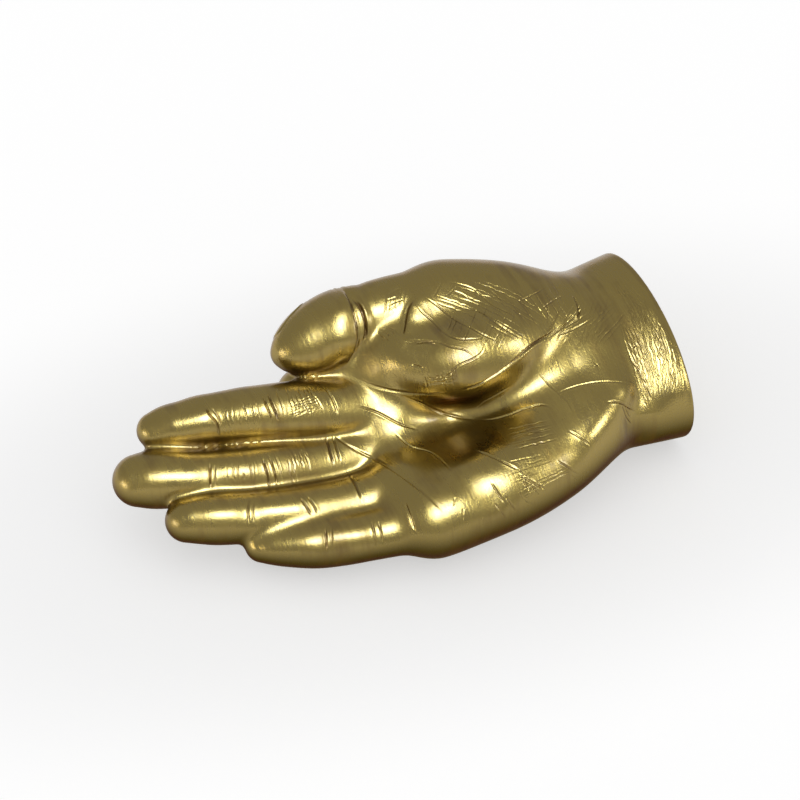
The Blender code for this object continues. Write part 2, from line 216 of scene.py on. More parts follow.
# Folds: depth and half width of the crease, then how far the skin swells on its left and right side and how
# far that reaches, in millimetres, and the line in pixels
FOLDS = [
    (0.9, 0.5, 1.3, 5.0, -1.2, 3.0, [(346, 366), (355, 348), (357, 332), (354, 316), (346, 294), (340, 284)]),
    (0.6, 0.5, 0.5, 1.5, 0.2, 3.0, [(363, 344), (366, 334), (365, 320), (361, 308), (352, 296)]),
    (0.25, 0.5, -0.5, 4.0, 0.6, 3.5, [(403, 338), (405, 325), (410, 306), (416, 299)]),
    (0.30, 0.5, 0.4, 2.5, -0.3, 2.5, [(402, 341), (416, 342), (428, 342), (440, 346)]),
    (0.6, 0.5, 0.4, 3.0, -0.1, 2.0, [
        (457, 391), (472, 387), (496, 374), (516, 359), (535, 343), (550, 334), (562, 324),
    ]),
    (0.5, 0.5, 0.5, 3.0, -0.2, 2.0, [(578, 322), (579, 311), (573, 294)]),
]

# Creases by their depth and half width in millimetres, each a line in pixels. Those across the palm's middle
# are guessed.
CREASES = [
    (0.40, 0.32, [
        [(203, 403), (210, 415), (217, 424), (219, 437)], [(210, 462), (210, 476), (211, 490)],
    ]),
    (0.28, 0.32, [
        [(212, 408), (219, 419), (221, 428)], [(249, 497), (248, 510), (249, 526)],
        [(371, 520), (374, 532), (376, 547)], [(378, 520), (381, 532), (383, 545)],
        [(410, 364), (417, 366), (424, 368)], [(603, 403), (617, 403), (629, 407), (640, 412)],
        [(629, 347), (633, 359), (641, 371), (647, 388), (654, 404)], [(517, 473), (533, 483), (549, 491)],
        [(491, 481), (499, 494), (506, 505)], [(506, 496), (511, 504), (517, 512)],
        [(522, 479), (526, 485), (530, 491)], [(530, 482), (534, 488), (539, 495)],
    ]),
    (0.15, 0.26, [
        [(243, 404), (247, 420)], [(256, 402), (260, 419)], [(275, 389), (281, 402), (285, 416)],
        [(274, 453), (279, 466), (283, 482)], [(302, 449), (308, 462), (311, 472)],
        [(254, 499), (253, 512), (254, 524)], [(331, 526), (332, 538), (332, 550)],
        [(451, 290), (464, 295), (474, 302)],
        [(407, 347), (422, 342), (436, 342), (451, 347), (465, 350), (480, 361)],
        [(433, 385), (447, 376), (459, 365), (474, 358), (480, 354), (486, 344)],
        [(552, 395), (575, 386), (600, 382), (620, 383), (633, 385)], [(571, 474), (577, 481)],
    ]),
    (0.36, 0.32, [
        [(262, 393), (266, 404), (270, 414), (273, 425)], [(267, 391), (272, 404), (276, 414), (279, 424)],
        [(262, 456), (264, 463), (268, 477), (270, 490)], [(267, 453), (271, 461), (275, 474), (278, 488)],
    ]),
    (0.19, 0.26, [
        [(215, 464), (215, 477), (216, 487)],
        [(413, 301), (422, 313), (433, 322), (444, 333), (454, 338), (474, 339), (485, 338)],
        [(422, 296), (436, 305), (457, 321), (471, 328), (486, 336), (500, 342)],
        [(444, 281), (459, 284), (473, 289), (482, 296), (491, 304), (509, 313), (524, 321)],
        [(470, 308), (484, 314), (500, 325), (521, 339)], [(495, 503), (501, 511), (507, 520)],
        [(519, 486), (521, 495), (534, 506)], [(556, 460), (569, 468), (581, 476)],
        [(567, 430), (579, 438), (591, 447)],
    ]),
    (0.32, 0.32, [
        [(299, 497), (306, 506), (312, 516)], [(306, 495), (313, 504), (318, 514)],
        [(325, 527), (326, 538), (327, 552)],
        [(476, 420), (487, 420), (508, 415), (527, 408), (545, 405), (554, 409)],
        [(620, 404), (627, 415), (636, 425)], [(469, 448), (488, 455), (509, 465), (521, 471)],
    ]),
    (0.17, 0.26, [
        [(433, 299), (447, 302), (464, 308), (480, 312), (490, 319), (500, 326), (522, 339)],
        [(548, 286), (538, 292), (530, 296), (515, 303)], [(567, 293), (551, 302), (539, 311)],
        [(564, 302), (557, 316), (549, 330), (542, 340)],
        [(540, 343), (554, 334), (566, 324), (575, 314), (584, 299)], [(546, 300), (548, 312), (547, 325)],
        [(474, 409), (483, 402), (492, 398), (512, 386)],
    ]),
    (0.12, 0.26, [
        [(464, 273), (470, 266)], [(434, 298), (442, 281)], [(447, 296), (457, 286)],
        [(455, 497), (454, 507)], [(463, 508), (463, 521)], [(483, 517), (483, 527)],
    ]),
    (0.14, 0.26, [
        [(489, 289), (498, 297), (506, 305)], [(560, 330), (574, 322), (590, 312)],
        [(556, 336), (576, 328), (596, 316)], [(536, 370), (550, 385), (566, 400), (575, 415)],
    ]),
    (0.30, 0.30, [
        [(597, 364), (597, 366)], [(635, 345), (635, 347)],
    ]),
    (0.25, 0.45, [
        [(350, 375), (375, 386), (400, 392), (428, 394), (457, 391)],
    ]),
    (0.22, 0.40, [
        [(400, 395), (420, 403), (440, 412), (463, 418), (480, 420)],
    ]),
    (0.24, 0.45, [
        [(452, 520), (436, 504), (420, 490), (400, 475), (380, 462), (358, 451), (340, 440), (322, 420)],
    ]),
    (0.30, 0.35, [
        [(420, 430), (400, 424), (376, 412), (352, 404)],
    ]),
    (0.22, 0.30, [
        [(452, 470), (430, 452), (410, 446), (392, 430)],
    ]),
    (0.35, 0.35, [
        [(326, 388), (334, 402), (338, 416)], [(326, 436), (330, 452), (334, 466)],
        [(348, 472), (356, 486), (362, 500)], [(404, 500), (410, 516), (416, 534)],
    ]),
    (0.30, 0.32, [
        [(332, 434), (337, 450), (341, 463)],
    ]),
]

# Lines on the skin: pixels between a line's points, the longest step in metres that isn't a jump to another
# form, how much of a crease and of a fold fades at each end, and how high a crease's lips are and how far out,
# as shares of its depth and half width
PIXEL_STEP = 0.7
LONGEST_STEP = 0.003
CREASE_FADE = 0.3
FOLD_FADE = 0.2
LIP_HEIGHT = 0.25
LIP_PLACE = 1.9

# Bands of fine lines: depth and half width in millimetres, how many, how wobbly in pixels, and both edges
BANDS = [
    (0.17, 0.26, 7, 1.6, [(283, 386), (292, 420)], [(309, 383), (330, 412)]),
    (0.07, 0.24, 6, 2.0, [(286, 404), (318, 392)], [(288, 420), (330, 408)]),
    (0.13, 0.26, 6, 1.3, [(224, 410), (227, 432)], [(258, 398), (264, 424)]),
    (0.13, 0.26, 6, 1.3, [(222, 464), (223, 482)], [(258, 458), (262, 484)]),
    (0.14, 0.26, 6, 1.6, [(286, 458), (291, 484)], [(306, 446), (316, 470)]),
    (0.13, 0.26, 6, 1.6, [(386, 286), (384, 318)], [(407, 280), (405, 306)]),
    (0.10, 0.26, 5, 1.6, [(384, 288), (404, 280)], [(388, 312), (404, 306)]),
    (0.14, 0.26, 5, 2.0, [(388, 322), (404, 334)], [(372, 332), (392, 344)]),
    (0.14, 0.26, 7, 2.0, [(422, 374), (424, 388)], [(456, 368), (460, 386)]),
    (0.11, 0.26, 5, 2.0, [(418, 376), (458, 368)], [(424, 388), (462, 382)]),
    (0.14, 0.24, 9, 1.4, [(452, 300), (440, 340)], [(522, 306), (500, 352)]),
    (0.14, 0.24, 8, 1.4, [(420, 300), (470, 318), (520, 345)], [(470, 272), (520, 292), (560, 318)]),
    (0.13, 0.24, 8, 1.4, [(500, 292), (530, 330)], [(556, 280), (578, 320)]),
    (0.13, 0.24, 8, 1.4, [(545, 345), (575, 300)], [(600, 350), (612, 290)]),
    (0.15, 0.26, 10, 2.0, [(640, 300), (652, 350), (664, 405)], [(668, 318), (682, 355), (684, 405)]),
    (0.12, 0.26, 8, 1.6, [(606, 270), (626, 305), (640, 345)], [(620, 274), (646, 305), (662, 340)]),
    (0.14, 0.26, 7, 2.0, [(618, 320), (636, 372), (650, 415)], [(640, 312), (652, 355), (664, 400)]),
    (0.12, 0.26, 6, 1.6, [(585, 330), (612, 300)], [(600, 350), (632, 312)]),
    (0.12, 0.24, 7, 1.2, [(500, 430), (552, 418)], [(510, 452), (560, 440)]),
    (0.12, 0.24, 7, 1.2, [(490, 462), (545, 452)], [(520, 500), (575, 470)]),
]

# The way each limb's back faces, then the joints that wrinkle there as shares of its length from the tip, and
# its nail's half length and half width in millimetres
BACKS = {
    "index": ((0.0, 0.50, -0.87), (0.26, 0.51), (6.4, 5.0)),
    "middle": ((0.0, 0.50, -0.87), (0.29, 0.49), (6.8, 5.6)),
    "ring": ((0.0, 0.50, -0.87), (0.29, 0.56), (6.2, 5.1)),
    "little": ((0.0, 0.42, -0.91), (0.40, 0.70), (5.2, 4.2)),
    "thumb": ((0.0, 0.94, 0.34), (0.43,), (7.2, 6.6)),
}
WRINKLE_DEPTHS = (0.12, 0.20, 0.34, 0.30, 0.18)
WRINKLE_SPACING = 0.0014
WRINKLE_WIDTH = 0.4
WRINKLE_ANGLE = 52.0
NAIL_RISE = 0.25
NAIL_GROOVE = 0.30
NAIL_GROOVE_WIDTH = 0.35

# How far the brush's strokes are drawn out across the wrist, then in millimetres how high the lacquer's grain
# and the felt's fibres stand, and how deep a crease is where its painted shade is full
BRUSH_STRETCH = 9.0
GRAIN_HEIGHT = 0.08
FIBRE_HEIGHT = 0.15
CREASE_SHADE_DEPTH = 0.5

# Sinews and veins on the hand's back: height and half width in millimetres, and a line in shares of the
# hand's length and breadth, seen from below
SINEWS = [
    (0.6, 2.2, [(0.05, 0.115), (0.16, 0.110), (0.29, 0.130), (0.40, 0.140)]),
    (0.6, 2.2, [(0.04, 0.000), (0.16, 0.020), (0.29, 0.070), (0.40, 0.110)]),
    (0.6, 2.0, [(0.02, -0.190), (0.14, -0.130), (0.28, -0.010), (0.40, 0.075)]),
    (0.5, 1.8, [(0.06, -0.310), (0.17, -0.220), (0.28, -0.090), (0.38, 0.020)]),
    (0.6, 1.1, [(0.02, 0.060), (0.08, 0.050), (0.13, 0.075), (0.20, 0.060), (0.27, 0.110), (0.35, 0.090)]),
    (0.5, 1.0, [(0.05, -0.240), (0.10, -0.190), (0.13, -0.090), (0.20, -0.050), (0.24, 0.030)]),
    (0.5, 0.9, [(0.13, -0.090), (0.17, -0.150), (0.24, -0.140)]),
]

# Colours: the finish in the open, a brown used both for random mottling and for painted shade in deep folds,
# and a painted shade low on the sides
GOLD = (0.310, 0.220, 0.043, 1.0)
GOLD_MOTTLE_AND_FOLD_SHADE = (0.135, 0.076, 0.010, 1.0)
GOLD_PAINTED_LOW_SHADE = (0.080, 0.055, 0.011, 1.0)
GOLD_EDGE = (0.45, 0.33, 0.12, 1.0)
FELT = (0.035, 0.032, 0.030, 1.0)
FELT_PALE = (0.075, 0.070, 0.065, 1.0)

# The floor's colour, and how much it glows to the eye close to the hand and farther off; the lower glow close
# to the hand paints a faint shade on the floor round it
FLOOR_TONE = 0.75
FLOOR_GLOWS = (0.52, 0.62)
FLOOR_REACHES = (0.06, 0.13)

# Lamps: the place each faces, from where in degrees and metres, size, radiance, spread in degrees and tint
LAMPS = {
    "key_light": ((-0.08, 0.0, 0.04), (-4, 55), 0.55, (0.50, 0.44), 1.5, 50, (0.75, 0.84, 1.0)),
    "right_light": ((0.07, -0.01, 0.03), (54, 27), 0.70, (0.16, 0.20), 1.2, 50, (0.85, 0.92, 1.0)),
    "left_light": ((-0.08, 0.0, 0.03), (-80, 6), 0.60, (0.30, 0.10), 2.4, 120, (1.0, 0.95, 0.9)),
}
SKY = 0.50


hand_size = np.array([HAND_LENGTH, HAND_BREADTH, HAND_HEIGHT])
wrist_end = hand_size * WRIST_END_SHARES
wrist_turn = Euler(
    (math.radians(WRIST_ROLL_ANGLE), math.radians(WRIST_DROP_ANGLE), math.radians(WRIST_TURN_ANGLE))
).to_matrix()
forearm_axis, width_axis, thickness_axis = (np.array(axis) for axis in wrist_turn.transposed())
seat_height = PAD_THICKNESS + FIT_GAP
foot_width = PAD_WIDTH + 2 * FOOT_FLANGE
seat_depth = PLATE_RECESS + PLATE_THICKNESS + FIT_GAP


def curve_through(rows, spacing):
    """Closely spaced rows on a smooth curve through the given ones, whose first columns are a place."""
    rows = np.array(rows, float)
    lengths = np.linalg.norm(np.diff(rows[:, :3], axis=0), axis=1)
    marks = np.concatenate([[0], np.cumsum(lengths)])
    slopes = np.gradient(rows, marks, axis=0)
    places = np.linspace(0, marks[-1], int(marks[-1] / spacing) + 2)
    index = np.clip(np.searchsorted(marks, places, "right") - 1, 0, len(rows) - 2)
    span = (marks[index + 1] - marks[index])[:, None]
    t = (places - marks[index])[:, None] / span
    start = (1 + 2 * t) * (1 - t) ** 2
    start_slope = t * (1 - t) ** 2
    end_slope = t ** 2 * (t - 1)
    return (
        start * rows[index]
        + (1 - start) * rows[index + 1]
        + span * (start_slope * slopes[index] + end_slope * slopes[index + 1])
    )


def limb(shares, width):
    """Balls along one limb, each as a centre and a radius."""
    rows = np.array(shares)
    stations = np.column_stack([rows[:, :3] * hand_size, rows[:, 3] * width / 2])
    return curve_through(stations, BALL_SPACING)


def wrist_limb():
    rows = np.array(WRIST_SHARES) * WRIST_WIDTH
    stations = np.column_stack([wrist_end + rows[:, :1] * forearm_axis, rows[:, 1] / 2])
    return curve_through(stations, BALL_SPACING)


def foot_limb(place_shares):
    """A short round stub under the hand, from below the table's level up into the body."""
    x, y = np.array(place_shares) * hand_size[:2]
    radius = foot_width / 2
    return curve_through(
        [(x, y, -radius, radius), (x, y, FOOT_RISE_SHARE * HAND_HEIGHT, radius)], BALL_SPACING
    )


fingers = {name: limb(rows, FINGER_WIDTH) for name, rows in FINGER_SHARES.items()}
fingers["thumb"] = limb(THUMB_SHARES, THUMB_WIDTH)
thumb_bone = limb(THUMB_BONE_SHARES, THUMB_WIDTH)
palm_forms = [limb(rows, PALM_THICKNESS) for rows in PALM_SHARES.values()]
wrist = wrist_limb()
feet = [foot_limb(place) for place in FOOT_SHARES.values()]


def distance_to(points, balls):
    """How far each point lies outside the skin of the nearest ball."""
    centres, radii = balls[:, :3], balls[:, 3]
    squared = (points ** 2).sum(1)[:, None] + (centres ** 2).sum(1) - 2 * points @ centres.T
    return (np.sqrt(np.maximum(squared, 0)) - radii).min(1)


def flattened(values):
    """Stretches the wrist's thickness to its width, so that round balls give an oval section."""
    stretch = (WRIST_WIDTH - WRIST_THICKNESS) / WRIST_THICKNESS
    return values + np.outer(values @ thickness_axis * stretch, thickness_axis)


def wrist_distance(points):
    balls = np.column_stack([flattened(wrist[:, :3]), wrist[:, 3]])
    return distance_to(flattened(points), balls) * (WRIST_WIDTH + WRIST_THICKNESS) / (2 * WRIST_WIDTH)


def blend(a, b, reach):
    """The nearer of two surfaces, with a fillet where they meet."""
    overlap = np.maximum(reach - np.abs(a - b), 0)
    return np.minimum(a, b) - overlap ** 2 / (4 * reach)


def rounded_cut(a, b, reach):
    """What two solids share, with a rounded edge where their surfaces meet."""
    return -blend(-a, -b, reach)


def palm_distance(points):
    distance = wrist_distance(points)
    for balls in [*palm_forms, thumb_bone]:
        distance = blend(distance, distance_to(points, balls), PALM_BLEND)
    return distance


def hand_distance(points):
    """Signed distance to the hand's skin, the wrist running on past its cut end."""
    palm = palm_distance(points)
    distance = palm
    for balls in fingers.values():
        limb_distance = blend(distance_to(points, balls), palm, ROOT_BLEND)
        distance = blend(distance, limb_distance, SEAM_BLEND)
    return distance


def uncut_distance(points):
    """The hand with its four stub feet."""
    distance = hand_distance(points)
    for balls in feet:
        distance = blend(distance, distance_to(points, balls), FOOT_BLEND)
    return distance


def skin_distance(points):
    """The same, cut off at the wrist and flat under the feet."""
    past_wrist = (points - wrist_end) @ forearm_axis
    below_feet = seat_height - points[:, 2]
    distance = rounded_cut(uncut_distance(points), past_wrist, RIM_ROUND)
    return rounded_cut(distance, below_feet, FOOT_ROUND)


def placed(name, data):
    made = bpy.data.objects.new(name, data)
    bpy.context.scene.collection.objects.link(made)
    return made


def evaluated_mesh(made):
    graph = bpy.context.evaluated_depsgraph_get()
    return bpy.data.meshes.new_from_object(made.evaluated_get(graph))


def through_modifier(mesh, kind, **settings):
    """The mesh as one modifier leaves it."""
    scratch = placed("scratch", mesh)
    modifier = scratch.modifiers.new("Step", kind)
    for name, value in settings.items():
        setattr(modifier, name, value)
    result = evaluated_mesh(scratch)
    bpy.data.objects.remove(scratch)
    return result


def remeshed(mesh, step):
    return through_modifier(mesh, "REMESH", mode="VOXEL", voxel_size=step)


def read_points(mesh):
    points = np.empty(len(mesh.vertices) * 3)
    mesh.vertices.foreach_get("co", points)
    return points.reshape(-1, 3)


def read_normals(mesh):
    normals = np.empty(len(mesh.vertices) * 3)
    mesh.vertex_normals.foreach_get("vector", normals)
    return normals.reshape(-1, 3)


def write_points(mesh, points):
    mesh.vertices.foreach_set("co", points.ravel())
    mesh.update()


def settled(mesh, distance, rounds=SETTLE_ROUNDS):
    """Moves each vertex along its normal onto the surface where the distance is zero."""
    for _ in range(rounds):
        points = read_points(mesh)
        step = np.clip(distance(points), -ROUGH_STEP, ROUGH_STEP)
        write_points(mesh, points - read_normals(mesh) * step[:, None])
    return mesh


def smoothed(mesh):
    return through_modifier(mesh, "SMOOTH", factor=0.5, iterations=SMOOTH_ROUNDS)


def finished(shape, name):
    mesh = bpy.data.meshes.new(name)
    shape.to_mesh(mesh)
    shape.free()
    return mesh


def rough_hand():
    """Overlapping balls along every limb, the wrist's set side by side to make its oval."""
    shape = bmesh.new()
    limbs = [*fingers.values(), thumb_bone, *palm_forms, *feet]
    balls = [ball for one in limbs for ball in one[::3]]
    reach = (WRIST_WIDTH - WRIST_THICKNESS) / 2
    for centre in wrist[::3, :3]:
        for side in np.linspace(-reach, reach, 7):
            balls.append([*(centre + side * width_axis), WRIST_THICKNESS / 2])
    for x, y, z, radius in balls:
        bmesh.ops.create_icosphere(
            shape, subdivisions=2, radius=radius, matrix=Matrix.Translation((x, y, z))
        )
    return finished(shape, "rough_hand")


def sliced(mesh, place, outward):
    """Cuts off what lies past a plane and closes the cut."""
    shape = bmesh.new()
    shape.from_mesh(mesh)
    bmesh.ops.bisect_plane(
        shape,
        geom=[*shape.verts, *shape.edges, *shape.faces],
        plane_co=place,
        plane_no=outward,
        clear_outer=True,
    )
    bmesh.ops.holes_fill(shape, edges=[edge for edge in shape.edges if edge.is_boundary])
    return finished(shape, "sliced_hand")


def bare_skin():
    """The hand's smooth skin, cut at the wrist and under the feet."""
    mesh = settled(remeshed(rough_hand(), ROUGH_STEP), uncut_distance)
    mesh = sliced(mesh, wrist_end, forearm_axis)
    mesh = sliced(mesh, (0, 0, seat_height), (0, 0, -1))
    mesh = settled(smoothed(remeshed(mesh, SKIN_STEP)), skin_distance)
    return settled(smoothed(mesh), skin_distance, rounds=2)


def photo_camera():
    camera = bpy.data.cameras.new("photo_camera")
    camera.lens = PHOTO_LENS
    camera.sensor_width = PHOTO_SENSOR
    made = placed("photo_camera", camera)
    back = way_from(PHOTO_AZIMUTH, PHOTO_ELEVATION)
    made.matrix_world = Matrix.LocRotScale(
        PHOTO_TARGET + PHOTO_DISTANCE * back, (-back).to_track_quat("-Z", "Y"), None
    )
    bpy.context.scene.camera = made
    return made


def way_from(azimuth, elevation):
    """The way to a place at these angles; azimuth 0 is the little finger's side, and 90 the wrist's."""
    turn, rise = math.radians(azimuth), math.radians(elevation)
    return Vector((math.sin(turn) * math.cos(rise), -math.cos(turn) * math.cos(rise), math.sin(rise)))


camera = photo_camera()


def hits(tree, starts, ways):
    """Where rays meet the skin, as places and normals, leaving out the rays that miss."""
    found = [tree.ray_cast(Vector(start), Vector(way)) for start, way in zip(starts, ways)]
    kept = [(place, normal) for place, normal, face, distance in found if place]
    return np.array([place for place, normal in kept]), np.array([normal for place, normal in kept])


def from_photo(tree, pixels):
    """A line of the photograph's pixels laid on the skin behind it."""
    line = curve_through(pixels, PIXEL_STEP)
    focal = PHOTO_LENS / PHOTO_SENSOR * PHOTO_SIDE
    centre = PHOTO_SIDE / 2
    ways = np.column_stack([line[:, 0] - centre, centre - line[:, 1], np.full(len(line), -focal)])
    ways = ways @ np.array(camera.matrix_world.to_3x3()).T
    starts = np.tile(np.array(camera.location), (len(line), 1))
    return hits(tree, starts, ways)


def from_below(tree, shares):
    """A line in shares of the hand's length and breadth laid on its back from under the table."""
    line = curve_through(np.array(shares) * hand_size[:2], MM)
    starts = np.column_stack([line, np.full(len(line), -HAND_HEIGHT)])
    return hits(tree, starts, np.tile((0.0, 0.0, 1.0), (len(line), 1)))


def limb_frame(balls, share, back):
    """A limb's middle at a share of its length, and its ways ahead to the tip, to its back and sideways."""
    number = min(int(share * len(balls)), len(balls) - 2)
    ahead = balls[number, :3] - balls[number + 1, :3]
    ahead /= np.linalg.norm(ahead)
    back = np.array(back) - (back @ ahead) * ahead
    back /= np.linalg.norm(back)
    return balls[number, :3], ahead, back, np.cross(ahead, back)


def round_back(tree, centre, back, side):
    """A line across the back of a limb, laid on the skin by rays from the limb's middle."""
    angles = np.radians(np.linspace(-WRINKLE_ANGLE, WRINKLE_ANGLE, 50))
    ways = np.outer(np.cos(angles), back) + np.outer(np.sin(angles), side)
    return hits(tree, np.tile(centre, (len(angles), 1)), ways)


def joint_wrinkles(tree, random):
    """Short creases across the backs of the finger joints."""
    made = []
    for name, (back, joints, nail_size) in BACKS.items():
        for joint in joints:
            centre, ahead, back_way, side = limb_frame(fingers[name], joint, np.array(back))
            for number, depth in enumerate(WRINKLE_DEPTHS):
                offset = (number - len(WRINKLE_DEPTHS) / 2 + random.uniform(-0.2, 0.2)) * WRINKLE_SPACING
                tilt = side + random.uniform(-0.1, 0.1) * ahead
                wrinkle = round_back(tree, centre + offset * ahead, back_way, tilt)
                made.append((*wrinkle, depth * MM, WRINKLE_WIDTH * MM))
    return made


def nail_frame(name):
    """A nail's middle, its limb's ways ahead, to its back and sideways, and its half sizes."""
    back, joints, (half_length, half_width) = BACKS[name]
    centre, ahead, back_way, side = limb_frame(fingers[name], 0, np.array(back))
    middle = centre - (half_length * MM - fingers[name][0, 3] / 2) * ahead
    return middle, ahead, back_way, side, half_length * MM, half_width * MM


def nail_edge(tree, name):
    """The groove round a nail's sides and root, which leaves its free edge open."""
    centre, ahead, back, side, half_length, half_width = nail_frame(name)
    angles = np.radians(np.linspace(-148, 148, 90))
    along = -half_length * np.sign(np.cos(angles)) * np.abs(np.cos(angles)) ** (2 / 3)
    across = half_width * np.sign(np.sin(angles)) * np.abs(np.sin(angles)) ** (2 / 3)
    starts = centre + np.outer(along, ahead) + np.outer(across, side) + THUMB_WIDTH * back
    places, normals = hits(tree, starts, np.tile(-back, (len(starts), 1)))
    kept = (places - centre) @ back > 0
    return places[kept], normals[kept]


class Skin:
    """The hand's vertices, the way each faces, and how far each is to be raised."""

    def __init__(self, mesh):
        self.points = read_points(mesh)
        self.normals = read_normals(mesh)
        self.height = np.zeros(len(self.points))
        self.groove = np.zeros(len(self.points))

    def near(self, line, normals, reach):
        """The vertices near a line: their indices, distances from it, sides of it, and shares along it."""
        low, high = line.min(0) - reach, line.max(0) + reach
        index = np.flatnonzero(((self.points > low) & (self.points < high)).all(1))
        start, step = line[:-1], np.diff(line, axis=0)
        length = np.linalg.norm(step, axis=1)
        kept = (length < LONGEST_STEP) & (length > 0)
        start, step, length = start[kept], step[kept], length[kept]
        facing = normals[:-1][kept]
        if not len(start) or not len(index):
            return index[:0], np.zeros(0), np.zeros(0), np.zeros(0)
        offset = self.points[index][:, None] - start[None]
        t = np.clip((offset * step).sum(2) / length ** 2, 0, 1)
        away = offset - t[..., None] * step
        gap = np.linalg.norm(away, axis=2)
        nearest = gap.argmin(1)
        rows = np.arange(len(index))
        gap = gap[rows, nearest]
        left = np.cross(facing, step)[nearest]
        side = np.sign((away[rows, nearest] * left).sum(1))
        agree = (self.normals[index] * facing[nearest]).sum(1) > 0.1
        kept = agree & (gap < reach)
        share = (nearest + t[rows, nearest]) / len(start)
        return index[kept], gap[kept], side[kept], share[kept]


def eased(value):
    """Zero below 0, one above 1, and a smooth rise between."""
    value = np.clip(value, 0, 1)
    return value * value * (3 - 2 * value)


def faded_ends(share, fade):
    """One along a line, falling to zero at both of its ends."""
    return eased(np.minimum(share, 1 - share) / fade)


def mound(skin, line, normals, height, width):
    index, gap, side, share = skin.near(line, normals, 2.5 * width)
    skin.height[index] += height * np.exp(-((gap / width) ** 2))


def crease(skin, line, normals, depth, width):
    """A groove with low lips, which fades at its ends."""
    index, gap, side, share = skin.near(line, normals, 4 * width)
    fade = faded_ends(share, CREASE_FADE)
    groove = np.exp(-((gap / width) ** 2))
    lips = np.exp(-((gap / width - LIP_PLACE) ** 2))
    skin.height[index] += depth * fade * (LIP_HEIGHT * lips - groove)
    skin.groove[index] = np.maximum(skin.groove[index], depth * fade * groove)


def fold(skin, line, normals, left_rise, left_reach, right_rise, right_reach):
    """Skin that swells or sinks beside a line, by unlike amounts on its two sides."""
    index, gap, side, share = skin.near(line, normals, 3 * max(left_reach, right_reach))
    fade = faded_ends(share, FOLD_FADE)
    for facing, rise, reach in ((1, left_rise, left_reach), (-1, right_rise, right_reach)):
        there = side == facing
        swell = (1 - np.exp(-gap / (0.5 * MM))) * np.exp(-((gap / reach) ** 2))
        skin.height[index] += there * fade * rise * swell


def nail(skin, name):
    """Raises the skin inside a nail's edge into a plate."""
    centre, ahead, back, side, half_length, half_width = nail_frame(name)
    offset = skin.points - centre
    along, across, above = offset @ ahead, offset @ side, offset @ back
    inside = 1 - np.abs(along / half_length) ** 3 - np.abs(across / half_width) ** 3
    facing = (above > 0) & (above < THUMB_WIDTH) & (skin.normals @ back > 0)
    skin.height += NAIL_RISE * MM * facing * eased(inside / 0.2)


def wobbly(random, line, amount):
    """The line with its points moved a little at random."""
    return line + random.uniform(-amount, amount, line.shape)


def band_lines(random, count, wobble, first, last):
    """Lines that share out the space between two edges, each broken off at random."""
    first, last = np.array(first, float), np.array(last, float)
    for place in (np.arange(count) + 0.5) / count:
        line = first + (last - first) * (place + random.uniform(-0.3, 0.3) / count)
        fine = curve_through(line, 4.0) if len(line) > 1 else line
        begin, end = sorted(random.uniform(0, 1, 2))
        if end - begin < 0.4:
            begin, end = 0.0, 1.0
        chosen = fine[int(begin * len(fine)): max(int(end * len(fine)), int(begin * len(fine)) + 3)]
        if len(chosen) > 2:
            yield wobbly(random, chosen, wobble * 0.4)


def fine_lines(tree):
    """Every crease as a line on the skin, with its normals, depth and half width."""
    random = np.random.default_rng(5)
    made = []
    for depth, width, lines in CREASES:
        made += [(*from_photo(tree, pixels), depth * MM, width * MM) for pixels in lines]
    for depth, width, *swells, pixels in FOLDS:
        made.append((*from_photo(tree, pixels), depth * MM, width * MM))
    for depth, width, count, wobble, first, last in BANDS:
        for pixels in band_lines(random, count, wobble, first, last):
            part = random.uniform(0.6, 1.1)
            made.append((*from_photo(tree, pixels), depth * part * MM, width * MM))
    made += joint_wrinkles(tree, random)
    for name in BACKS:
        made.append((*nail_edge(tree, name), NAIL_GROOVE * MM, NAIL_GROOVE_WIDTH * MM))
    return [row for row in made if len(row[0]) > 1]


def refined(mesh, lines):
    """Splits the skin's faces near the fine lines, twice over close to them."""
    places = np.concatenate([line for line, normals, depth, width in lines])
    tree = KDTree(len(places))
    for number, place in enumerate(places):
        tree.insert(place, number)
    tree.balance()
    for reach in (FINE_REACH, FINEST_REACH):
        shape = bmesh.new()
        shape.from_mesh(mesh)
        near = [tree.find(vert.co)[2] < reach for vert in shape.verts]
        edges = [edge for edge in shape.edges if near[edge.verts[0].index] and near[edge.verts[1].index]]
        bmesh.ops.subdivide_edges(shape, edges=edges, cuts=1, use_grid_fill=True)
        mesh = finished(shape, "fine_skin")
    return mesh


def skin_tree(mesh):
    faces = [tuple(face.vertices) for face in mesh.polygons]
    return BVHTree.FromPolygons([vertex.co for vertex in mesh.vertices], faces)


def creased_skin():
    """The skin with its forms raised and its lines pressed in."""
    mesh = bare_skin()
    tree = skin_tree(mesh)
    lines = fine_lines(tree)
    mesh = settled(refined(mesh, lines), skin_distance, rounds=1)
    skin = Skin(mesh)
    for height, width, pixels in MOUNDS:
        mound(skin, *from_photo(tree, pixels), height * MM, width * MM)
    for height, width, shares in SINEWS:
        mound(skin, *from_below(tree, shares), height * MM, width * MM)
    for depth, width, *swells, pixels in FOLDS:
        fold(skin, *from_photo(tree, pixels), *(swell * MM for swell in swells))
    for line, normals, depth, width in lines:
        crease(skin, line, normals, depth, width)
    for name in BACKS:
        nail(skin, name)
    height = skin.height * inside_edges(skin.points)
    # The next two masks paint shade into the colour of creases and of folds where the hand shades itself.
    store(mesh, "groove", np.clip(skin.groove / (CREASE_SHADE_DEPTH * MM), 0, 1))
    store(mesh, "shelter", shelter(skin.points, skin.normals))
    # This mask paints shade low on the sides, where they turn down to the table, and thins the coat there.
    store(mesh, "painted_low_shade", painted_low_shade(skin.points, skin.normals))
    write_points(mesh, skin.points + skin.normals * height[:, None])
    return mesh


def inside_edges(points):
    """One over most of the skin, falling to zero at the wrist's rim and under the feet."""
    inward = (wrist_end - points) @ forearm_axis
    upward = points[:, 2] - seat_height
    return eased((np.minimum(inward, upward) - RIM_ROUND / 2) / EDGE_REACH)


